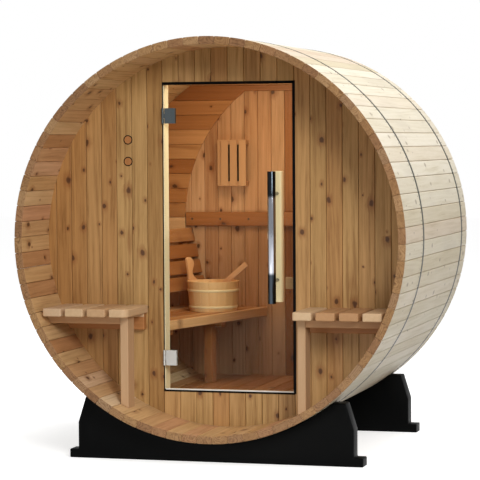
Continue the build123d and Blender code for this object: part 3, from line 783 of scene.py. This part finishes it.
porch = {
    # slat tones per bench: the boards' own tones, with the right bench's darker than the left's as painted
    # shade on the shaded right-hand side
    "slatTones": {"porch_left": (0.55, 0.30, 0.45, 0.10), "porch_right": (0.50, 0.80, 0.72, 0.52)},
    "railTone": 0.72, "postTone": 0.20, "slatEase": 0.006,
    "ledgerReach": 0.004, "ledgerHeight": 0.016, "ledgerDrop": 0.0002, "ledgerEase": 0.0015,
}
for bench, tones in porch["slatTones"].items():
    for number, shade in enumerate(tones, start=1):
        eased(
            f"{bench}_slat_{number}", "porch", "Y", "porch_wood", ease=porch["slatEase"], segments=3,
            tones={0: shade},
        )
    eased(f"{bench}_rail", "porch", "X", "porch_wood", tones={0: porch["railTone"]})
    eased(f"{bench}_cleat", "cleat", "X", "porch_wood")
    eased(f"{bench}_post", "porch", "Z", "porch_wood", tones={0: porch["postTone"]})
    low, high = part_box(f"{bench}_cleat")
    work = bmesh.new()
    block(
        work, (low.x, low.y - porch["ledgerReach"], high.z - porch["ledgerHeight"]),
        (high.x, low.y + porch["ledgerReach"], high.z - porch["ledgerDrop"]),
    )
    easeEdges(work, porch["ledgerEase"])
    settle(lone(work, f"{bench}_ledger", "porch", "X", {0: 0.5}), "sauna", "porch_wood")

roomBench = {
    "turn": math.radians(13.0),
    "slatPitch": 0.0965, "nosing": 0.035, "slatDepth": 0.05,
    "tones": {-1: 1.0, -9: 0.7},        # the nosing, and what isn't a slat
    "backPitch": 0.095, "backTones": (0.67, 0.60, 0.72),
}


# Counts slats across a bench that is turned in plan, out from its front edge.
def slatNumber(side):
    sign = -1 if side == "left" else 1
    corner = Vector((sign * seatInner, seatFront, 0.0))
    across = Vector((sign * math.cos(roomBench["turn"]), math.sin(roomBench["turn"]), 0.0))

    def number(co):
        if co.z <= seatTop - roomBench["slatDepth"]:
            return -9
        return math.floor(((co - corner).dot(across) - roomBench["nosing"]) / roomBench["slatPitch"])

    return number


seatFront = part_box("room_bench_left")[0].y
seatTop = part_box("room_bench_left")[1].z
benchPoints = [vertex.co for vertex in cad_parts["room_bench_left"].data.vertices]
seatInner = -max(point.x for point in benchPoints if point.y < seatFront + 0.002)
backTones = {number: roomBench["backTones"][number % 3] for number in range(20)}
for side, sign in (("left", -1), ("right", 1)):
    turned = {"turn": sign * roomBench["turn"]}
    eased(f"room_bench_{side}", "room", "Y", board=slatNumber(side), tones=roomBench["tones"], **turned)
    eased(f"room_bench_leg_{side}", "room", "Z", **turned)
    eased(
        f"backrest_{side}", "room", "Y", board=lambda co: math.floor(co.z / roomBench["backPitch"]),
        tones=backTones, **turned,
    )
    # the left jamb takes the near-white wood with painted light, the other frame pieces the plain frame wood
    eased(f"door_frame_{side}", "paintedLightJamb" if side == "left" else "frame", "Z")
eased("door_frame_head", "frame", "X")
eased("door_frame_sill", "frame", "X")
eased("guard_rail", "porch", "X", tones={0: 0.3})
eased("back_wall_rail", "room", "X", tones={0: 0.67})

lampShade = {
    "slatPitch": 0.044, "ease": 0.0015,
    # painted shade: a dark sheet stands behind the slats where the shade inside the lamp shade falls
    "behind": 0.014, "thickness": 0.002, "inset": 0.006, "left": 0.030,     # the dark behind the slats
    "darkEase": 0.0005,
}
eased(
    "lamp_shade", "shade", "Z", ease=lampShade["ease"],
    board=lambda co: math.floor(co.x / lampShade["slatPitch"]),
)
# A dark sheet behind the slats: painted shade inside the lamp shade.
low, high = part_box("lamp_shade")
work = bmesh.new()
darkFace = low.y + lampShade["behind"]
block(
    work, (low.x + lampShade["left"], darkFace, low.z + lampShade["inset"]),
    (high.x - lampShade["inset"], darkFace + lampShade["thickness"], high.z - lampShade["inset"]),
)
easeEdges(work, lampShade["darkEase"], 1)
settle(lone(work, "lampShadow", "seal", "Z"), "sauna", "room_wood")
floorLow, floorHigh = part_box("floor_deck")
deckCuts = evenCuts(floorLow.x, floorHigh.x, panels["deckWidth"], panels["deckGap"])
boarded("floor_deck", "room", "Y", deckCuts)

pail = {
    "rim": 0.131, "base": 0.117, "height": 0.149, "wall": 0.012, "staves": 18, "seed": 5,
    "startAngle": 0.1, "gap": 0.0002, "groove": 0.001, "grooveDepth": 0.001, "ease": 0.0011,
    "hoops": [(0.016, 0.012), (0.098, 0.012)],      # foot above the base, and height
    "hoopThickness": 0.0028, "hoopSink": 0.001,
    "baseInset": 0.004, "baseFlare": 0.001, "baseLift": 0.003,
    "handleFoot": 0.0005,       # above the rim
    "handleEase": 0.0025,
}
pailLow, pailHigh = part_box("pail")
pailPlace = Vector((pailHigh.x - pail["rim"], (pailLow.y + pailHigh.y) / 2, pailLow.z))
pailStaves = grow("pailStaves", staveTree, {
    "Count": pail["staves"], "Near Radius": pail["base"], "Far Radius": pail["rim"],
    "Thickness": pail["wall"], "Length": pail["height"], "Start Angle": pail["startAngle"],
    "Gap": pail["gap"], "Groove": pail["groove"], "Groove Depth": pail["grooveDepth"],
    "Axis Height": 0.0, "Uneven": 0.0, "Seed": pail["seed"], "Material": materials["pail"],
}, pail["ease"])
facing = Matrix.Rotation(math.pi / 2, 4, "X")       # turns what stands upright to face the front
pailMiddle = pailPlace + Vector((0.0, 0.0, pail["height"] / 2))
pailStaves.data.transform(Matrix.Translation(pailMiddle) @ facing)


# A closed ring about the upright line of a place; profile holds pairs of radius and level.
def ringOf(work, place, profile, rounds=72):
    circles = []
    for number in range(rounds):
        angle = math.tau * number / rounds
        circles.append([
            work.verts.new(place @ Vector((radius * math.cos(angle), radius * math.sin(angle), level)))
            for radius, level in profile
        ])
    for near, far in zip(circles, circles[1:] + circles[:1]):
        for step in range(len(profile)):
            following = (step + 1) % len(profile)
            work.faces.new((near[step], far[step], far[following], near[following]))
    bmesh.ops.recalc_face_normals(work, faces=work.faces)


def pailRadius(level):
    return pail["base"] + (pail["rim"] - pail["base"]) * level / pail["height"] - pail["hoopSink"]


hoops = Stack()
hoopShape = [(0.0, 0.0), (0.7, 0.0), (1.0, 0.25), (1.0, 0.75), (0.7, 1.0), (0.0, 1.0)]
hoopReach = pail["hoopThickness"] + pail["hoopSink"]
for number, (foot, height) in enumerate(pail["hoops"]):
    work = bmesh.new()
    ringOf(work, Matrix.Translation(pailPlace), [
        (pailRadius(foot + up * height) + out * hoopReach, foot + up * height) for out, up in hoopShape
    ])
    hoops.add(work, number)
settle(smoothShade(hoops.piece("pailHoops", "hoop", "X")), "sauna", "pail_wood")

work = bmesh.new()
baseRadius, baseMiddle = pail["base"] - pail["baseInset"], pail["wall"] / 2 + pail["baseLift"]
cylinder(
    work, Matrix.Translation(pailPlace + Vector((0.0, 0.0, baseMiddle))), baseRadius,
    baseRadius + pail["baseFlare"], pail["wall"], 48,
)
settle(smoothShade(lone(work, "pailBase", "pail", "X")), "sauna", "pail_wood")
work = mergedCopy("pail")       # the tall stave that the pail is held by
handleFoot = pailPlace + Vector((0.0, 0.0, pail["height"] + pail["handleFoot"]))
bmesh.ops.contextual_create(work, geom=cutAway(work, handleFoot, (0.0, 0.0, -1.0)))
bmesh.ops.recalc_face_normals(work, faces=work.faces)
easeEdges(work, pail["handleEase"], 3)
settle(smoothShade(lone(work, "pailHandle", "ear", "Z")), "sauna", "pail_wood")
settle(pailStaves, "sauna", "pail_wood", "pail")
eases = {"ladle": 0.002, "cradle": 0.005, "leaf": 0.0006, "clamp": 0.001, "pull": 0.002, "plug": 0.001}
smoothShade(eased("ladle", "ladle", "X", "pail_wood", ease=eases["ladle"]))
for end in ("front", "back"):
    smoothShade(eased(f"cradle_{end}", "cradle", "X", "cradle_moulding", ease=eases["cradle"], segments=3))
for name, look, slot in (("upper", "darkHinge", "dark_hinge"), ("lower", "lightHinge", "light_hinge")):
    eased(f"hinge_{name}_leaf", look, "Z", slot, ease=eases["leaf"])
    eased(f"hinge_{name}_clamp", look, "Z", slot, "door", ease=eases["clamp"])
for name, look in (("steel", "pullSteel"), ("wood", "pull")):
    smoothShade(eased(f"pull_{name}_bar", look, "Z", f"pull_{name}", "door", ease=eases["pull"]))

# each vent plug gets a dark ring round it, which paints the shade of the recess it sits in
ventPlug = {        # the ring's points: in from the plug's edge, and out from the wall
    "discInset": 0.006, "discTaper": 0.0015, "discDepth": 0.004, "discSink": 0.0015,
    "ring": [(0.0080, -0.004), (0.0035, -0.004), (0.0035, 0.0006), (0.0058, 0.0011), (0.0080, 0.0006)],
}
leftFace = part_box("front_wall_left")[0].y
for node in ("vent_plug_upper", "vent_plug_lower"):
    eased(node, "wall", "Z", "wall_wood", ease=eases["plug"])
    plugLow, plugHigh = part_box(node)
    plugRadius, plugMiddle = (plugHigh.x - plugLow.x) / 2, (plugLow + plugHigh) / 2
    place = Matrix.Translation((plugMiddle.x, leftFace, plugMiddle.z)) @ facing
    discRadius = plugRadius - ventPlug["discInset"]
    work = bmesh.new()
    cylinder(
        work, place @ Matrix.Translation((0.0, 0.0, -ventPlug["discSink"])), discRadius,
        discRadius - ventPlug["discTaper"], ventPlug["discDepth"], 40,
    )
    settle(lone(work, node + "_face", "cleat", "Z", {0: 0.4}), "sauna", "wall_wood")
    # a dark ring round the plug: painted shade of the gap round it
    work = bmesh.new()
    ringOf(work, place, [(plugRadius - inset, level) for inset, level in ventPlug["ring"]], 48)
    settle(smoothShade(lone(work, node + "_ring", "seal", "Z")), "sauna", "wall_wood")
for node, look in (("band_front", "band"), ("band_back", "band"), ("door_glass", "glass")):
    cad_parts[node].data.materials.clear()
    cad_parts[node].data.materials.append(materials[look])
print("timber made")

nails = {"radius": 0.0030, "proud": 0.0005, "depth": 0.002, "spread": 0.26}
railScrews = {"count": 7, "first": 0.035, "pitch": 0.15, "radius": 0.0055}

# Nail heads go round the barrel in two rings, two in each stave.
nailTree = newTree("nailsInRings", {
    "Count": "Int", "Ring Radius": "Float", "Radius": "Float", "Depth": "Float", "Spread": "Float",
    "Near": "Float", "Far": "Float", "Start Angle": "Float", "Axis Height": "Float", "Material": "Material",
})
g = nailTree
head = g.make("GeometryNodeMeshCylinder", {}, {
    "Vertices": 8, "Radius": g.input("Radius"), "Depth": g.input("Depth"),
})
index = g.make("GeometryNodeInputIndex")
perRing = g.input("Count") * 2.0
ring = index > perRing - 0.5
stave = g.only("FLOOR", (index - ring * perRing) * 0.5 + 0.01)
side = (index - ring * perRing) - stave * 2.0
turns = stave + 0.5 + (side * 2.0 - 1.0) * g.input("Spread")
angle = turns * (math.tau / g.input("Count")) + g.input("Start Angle")
spots = g.make("GeometryNodePoints", {}, {
    "Count": perRing * 2.0,
    "Position": g.join(
        g.input("Ring Radius") * g.only("SINE", angle),
        g.input("Near") + ring * (g.input("Far") - g.input("Near")),
        g.input("Axis Height") + g.input("Ring Radius") * g.only("COSINE", angle),
    ),
})
placed = g.make("GeometryNodeInstanceOnPoints", {}, {
    "Points": spots, "Instance": head, "Rotation": g.join(0.0, angle, 0.0),
})
endTree(g, placed)
frontMiddle = sum(corner.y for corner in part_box("front_wall_left")) / 2
staveNails = grow("staveNails", nailTree, {
    "Count": staves["count"], "Ring Radius": barrelRadius + nails["proud"] - nails["depth"] / 2,
    "Radius": nails["radius"], "Depth": nails["depth"], "Spread": nails["spread"], "Near": frontMiddle,
    "Far": (backLow.y + backHigh.y) / 2, "Start Angle": math.radians(90 - staves["jointAngle"]),
    "Axis Height": axisHeight, "Material": materials["nail"],
})
settle(staveNails, "sauna", "stave_wood")

railLow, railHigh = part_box("back_wall_rail")
railMiddle, headMiddle = (railLow.z + railHigh.z) / 2, railLow.y - nails["proud"] + nails["depth"] / 2
heads = Stack()
for number in range(railScrews["count"]):
    work = bmesh.new()
    place = Vector((railLow.x + railScrews["first"] + number * railScrews["pitch"], headMiddle, railMiddle))
    radius = railScrews["radius"]
    cylinder(work, Matrix.Translation(place) @ facing, radius, radius, nails["depth"], 12)
    heads.add(work, number)
settle(heads.piece("railScrews", "nail", "Z"), "sauna", "room_wood")

# Black seal strips round the doorway; they also paint the dark shadow in the gaps round the glass.
doorSeal = {
    "lip": 0.006, "depth": 0.010, "proud": 0.002, "top": 0.013, "foot": 0.0035, "threshold": 0.008,
    "glassLap": 0.002, "hingeSide": 0.0015, "ease": 0.0008,
}
wallFace = sillLow.y
glassLow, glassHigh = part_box("door_glass")
sealFront, sealBack = wallFace - doorSeal["proud"], wallFace + doorSeal["depth"]
openLow, openHigh = sillHigh.z, headLow.z
strips = [          # across, through the wall, and up
    ((doorRight, doorRight + doorSeal["lip"]), (sealFront, wallFace), (openLow, openHigh)),
    ((glassHigh.x - doorSeal["glassLap"], doorRight), (wallFace, sealBack), (openLow, openHigh)),
    ((doorLeft, doorLeft + doorSeal["hingeSide"]), (wallFace, sealBack), (openLow, openHigh)),
    ((doorLeft, doorRight), (wallFace, sealBack), (openHigh - doorSeal["top"], openHigh)),
    ((doorLeft, doorRight), (sealFront, wallFace), (openLow - doorSeal["foot"], openLow)),
    ((doorLeft, doorRight), (wallFace, sealBack), (openLow, openLow + doorSeal["threshold"])),
]
work = bmesh.new()
for strip in strips:
    block(work, *zip(*strip))
easeEdges(work, doorSeal["ease"], 1)
settle(lone(work, "doorSeal", "seal", "Z"), "sauna", "dark_hinge")

# A pale sweep along the foot of the glass; it also paints the bright glint of the glass's lower edge.
sweep = {"proud": 0.001, "height": 0.005, "ease": 0.0008}
work = bmesh.new()
block(
    work, (glassLow.x, glassLow.y - sweep["proud"], glassLow.z - sweep["proud"]),
    (glassHigh.x, glassHigh.y + sweep["proud"], glassLow.z + sweep["height"]),
)
easeEdges(work, sweep["ease"], 1)
settle(lone(work, "doorSweep", "sweep", "Z"), "door", "glass")
print("door dressed")

stage = {"floorSize": 60.0, "white": 0.86, "bounce": (0.22, 0.19, 0.14), "glow": 0.55, "sky": 0.5}


def stageMaterial(name):
    material, g = newMaterial(name)
    path = g.make("ShaderNodeLightPath")
    seen = g.only("MAXIMUM", path.out("Is Camera Ray"), path.out("Is Glossy Ray"))
    seen = g.only("MAXIMUM", seen, path.out("Is Transmission Ray"))
    dull = g.make("ShaderNodeBsdfDiffuse", {}, {"Color": rgba(stage["bounce"])})
    plain = g.make("ShaderNodeBsdfDiffuse", {}, {"Color": rgba([stage["white"]] * 3)})
    glow = g.make("ShaderNodeEmission", {}, {"Color": (1.0, 1.0, 1.0, 1.0), "Strength": stage["glow"]})
    both = g.make("ShaderNodeAddShader", {}, {0: plain, 1: glow})
    finishMaterial(g, g.make("ShaderNodeMixShader", {}, {0: seen, 1: dull, 2: both}))
    return material


half = stage["floorSize"] / 2
floorMesh = bpy.data.meshes.new("floor")
corners = [(-half, -half, 0), (half, -half, 0), (half, half, 0), (-half, half, 0)]
floorMesh.from_pydata(corners, [], [(0, 1, 2, 3)])
floorMesh.materials.append(stageMaterial("paleFloor"))
floor = bpy.data.objects.new("floor", floorMesh)
scene.collection.objects.link(floor)

world = bpy.data.worlds.new("studio")
world.use_nodes = True
world.node_tree.nodes.clear()
g = Graph(world.node_tree)
path = g.make("ShaderNodeLightPath")
seen = g.only("MAXIMUM", path.out("Is Camera Ray"), path.out("Is Transmission Ray"))
sky = g.make("ShaderNodeBackground", {}, {      # full white where the camera sees it
    "Color": (1.0, 1.0, 1.0, 1.0), "Strength": stage["sky"] + seen * (1.0 - stage["sky"]),
})
g.make("ShaderNodeOutputWorld", {}, {"Surface": sky})
scene.world = world

lamps = {
    "key": {
        "from": (4.6, -7.2, 4.6), "to": (0.0, 0.0, 1.0), "size": 2.6, "power": 440,
        "colour": (1.0, 0.99, 0.97),
    },
    "top": {
        "from": (1.5, 0.6, 7.0), "to": (0.3, 0.0, 1.0), "size": 4.0, "power": 300,
        "colour": (1.0, 1.0, 1.0),
    },
    "room": {
        "from": (0.0, 0.0, 1.82), "to": (0.0, 0.1, 0.5), "size": 0.5, "power": 6.6,
        "colour": (1.0, 0.80, 0.56),
    },
    "ceiling": {
        "from": (-0.1, 0.1, 1.0), "to": (-0.1, 0.1, 1.9), "size": 0.8, "power": 2.1,
        "colour": (1.0, 0.90, 0.72),
    },
    "porch": {
        "from": (-0.1, frontRim - 1.1, 0.22), "to": (0.0, frontRim + 0.3, 1.9), "size": 0.9, "power": 5.0,
        "colour": (1.0, 0.97, 0.92),
    },
}
for name, lamp in lamps.items():
    light = bpy.data.lights.new(name, "AREA")
    light.energy, light.size, light.color = lamp["power"], lamp["size"], lamp["colour"]
    holder = bpy.data.objects.new(name, light)
    holder.location = lamp["from"]
    aim = Vector(lamp["to"]) - Vector(lamp["from"])
    holder.rotation_euler = aim.to_track_quat("-Z", "Y").to_euler()
    holder.visible_camera = False
    scene.collection.objects.link(holder)

camera = {
    "place": (2.831, -10.109, 1.4577), "yaw": 15.93, "pitch": -2.59, "roll": -0.346,
    "lens": 163.9, "sensor": 36.0,
}
lens = bpy.data.cameras.new("camera")
lens.lens, lens.sensor_width = camera["lens"], camera["sensor"]
eye = bpy.data.objects.new("camera", lens)
yaw, tilt, roll = (math.radians(camera[key]) for key in ("yaw", "pitch", "roll"))
ahead = Vector((-math.sin(yaw) * math.cos(tilt), math.cos(yaw) * math.cos(tilt), math.sin(tilt)))
right = Vector((math.cos(yaw), math.sin(yaw), 0.0))
above = right.cross(ahead)
turnedRight = right * math.cos(roll) + above * math.sin(roll)
turnedUp = above * math.cos(roll) - right * math.sin(roll)
rows = [(turnedRight[i], turnedUp[i], -ahead[i], camera["place"][i]) for i in range(3)]
eye.matrix_world = Matrix(rows + [(0, 0, 0, 1)])
scene.collection.objects.link(eye)
scene.camera = eye
scene.view_settings.view_transform = "Standard"
print("stage made")
